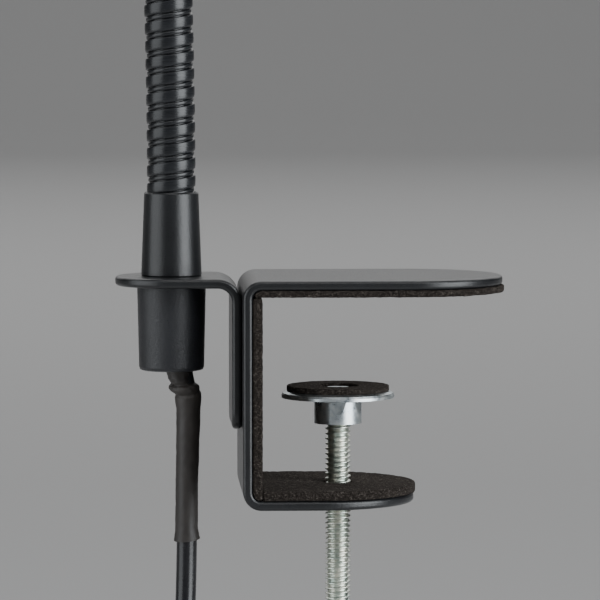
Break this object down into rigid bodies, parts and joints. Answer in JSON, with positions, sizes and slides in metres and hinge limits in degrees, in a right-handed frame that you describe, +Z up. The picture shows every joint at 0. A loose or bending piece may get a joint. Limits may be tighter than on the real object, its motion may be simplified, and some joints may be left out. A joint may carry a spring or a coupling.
{
  "type": "clip on reading lamp",
  "caption": "Screw-clamp reading lamp: felt-lined steel C clamp with a thumb screw, angle bracket, strip-wound gooseneck, bell shade, bulb, and a round mains cord with plug.",
  "frame": {"origin": "on the clamp screw's axis, in the plane of the board's upper face, which is the underside of the upper jaw pad", "axes": "+Z up along the clamp screw, +X out along the jaws away from the neck, +Y away from the viewer who has the neck on the left"},
  "size_m": [0.2012, 0.104, 0.5802],
  "materials": {
    "powder_coat": "satin black powder coat",
    "rough_coat": "fine-textured black powder coat",
    "felt": "pressed felt, black-brown",
    "zinc": "bright zinc plate",
    "knob_plastic": "moulded black",
    "brass": "plain brass",
    "hose": "semi-gloss black, strip-wound",
    "lead": "insulated two-core lead",
    "cord_pvc": "glossy black sheath",
    "plug_pvc": "moulded black",
    "shrink_sleeve": "matt heat-shrink tubing",
    "nylon": "natural nylon",
    "tie_strap": "soft strap",
    "phenolic": "pressed phenolic",
    "shade_paint": "satin black outside, white inside",
    "bulb_opal": "opal glass",
    "bulb_cap": "plain screw cap"
  },
  "bodies": {
    "clamp": {"clamp_frame": "powder_coat", "top_jaw_pad": "felt", "back_pad": "felt", "lower_jaw_pad": "felt", "arm_bracket": "powder_coat", "bracket_rivets": "powder_coat", "neck_sleeve": "powder_coat", "neck_nipple": "zinc", "lock_washer": "zinc", "lower_ferrule": "rough_coat", "cord_grip": "nylon", "strain_sleeve": "shrink_sleeve", "cord_run": "cord_pvc", "cord_coil": "cord_pvc", "cord_tail": "cord_pvc", "cord_tie": "tie_strap", "plug_boot": "plug_pvc", "plug_body": "plug_pvc", "plug_blades": "brass", "neck_hose_0": "hose", "neck_lead_0": "lead"},
    "foot": {"foot_collar": "zinc", "foot_rivet": "zinc"},
    "pressure_disc": {"foot_disc": "zinc", "foot_pad": "felt"},
    "screw": {"clamp_screw": "zinc", "clamp_knob": "knob_plastic", "knob_insert": "brass"},
    "neck_1": {"neck_hose_1": "hose", "neck_lead_1": "lead"},
    "neck_2": {"neck_hose_2": "hose", "neck_lead_2": "lead"},
    "neck_3": {"neck_hose_3": "hose", "neck_lead_3": "lead"},
    "neck_4": {"neck_hose_4": "hose", "neck_lead_4": "lead"},
    "neck_5": {"neck_hose_5": "hose", "neck_lead_5": "lead"},
    "neck_6": {"neck_hose_6": "hose", "neck_lead_6": "lead"},
    "head": {"neck_hose_7": "hose", "neck_lead_7": "lead", "neck_top_sleeve": "powder_coat", "head_nipple": "zinc", "head_locknut": "zinc", "socket_cap": "powder_coat", "socket_body": "phenolic", "screw_shell": "brass", "centre_contact": "brass", "shade": "shade_paint", "shade_ring": "knob_plastic", "bulb_glass": "bulb_opal", "bulb_base": "bulb_cap"},
    "switch": {"switch_knob": "knob_plastic"}
  },
  "joints": [
    {"name": "clamp_travel", "type": "slide", "parent": "clamp", "child": "foot", "axis": [0, 0, 1], "range_m": [-0.0144, 0.0225]},
    {"name": "screw_turn", "type": "hinge", "parent": "foot", "child": "screw", "pos_m": [0, 0, -0.06], "axis": [0, 0, 1], "range_deg": [-4087, 6383]},
    {"name": "disc_rock", "type": "hinge", "parent": "foot", "child": "pressure_disc", "pos_m": [0, 0, -0.0257], "axis": [0, 1, 0], "range_deg": [-3.5, 3.5]},
    {"name": "neck_bend_1", "type": "hinge", "parent": "clamp", "child": "neck_1", "pos_m": [-0.04225, 0, 0.0572], "axis": [0, 1, 0], "range_deg": [-35, 15]},
    {"name": "neck_side_2", "type": "hinge", "parent": "neck_1", "child": "neck_2", "pos_m": [-0.04365, 0, 0.11718], "axis": [0.9997, 0, 0.0236], "range_deg": [-30, 30]},
    {"name": "neck_bend_3", "type": "hinge", "parent": "neck_2", "child": "neck_3", "pos_m": [-0.04506, 0, 0.17716], "axis": [0, 1, 0], "range_deg": [-35, 15]},
    {"name": "neck_side_4", "type": "hinge", "parent": "neck_3", "child": "neck_4", "pos_m": [-0.04647, 0, 0.23715], "axis": [0.9997, 0, 0.0236], "range_deg": [-30, 30]},
    {"name": "neck_bend_5", "type": "hinge", "parent": "neck_4", "child": "neck_5", "pos_m": [-0.03445, 0, 0.29461], "axis": [0, 1, 0], "range_deg": [-35, 15]},
    {"name": "neck_side_6", "type": "hinge", "parent": "neck_5", "child": "neck_6", "pos_m": [0.01554, 0, 0.32438], "axis": [0.1084, 0, -0.9941], "range_deg": [-30, 30]},
    {"name": "neck_bend_7", "type": "hinge", "parent": "neck_6", "child": "head", "pos_m": [0.07077, 0, 0.30608], "axis": [0, 1, 0], "range_deg": [-35, 15]},
    {"name": "switch_turn", "type": "hinge", "parent": "head", "child": "switch", "pos_m": [0.11313, 0, 0.21079], "axis": [1, 0, 0], "continuous": true}
  ],
  "couplings": [
    {"joint": "screw_turn", "follows": "clamp_travel", "rad_per_m": 4947.4}
  ]
}
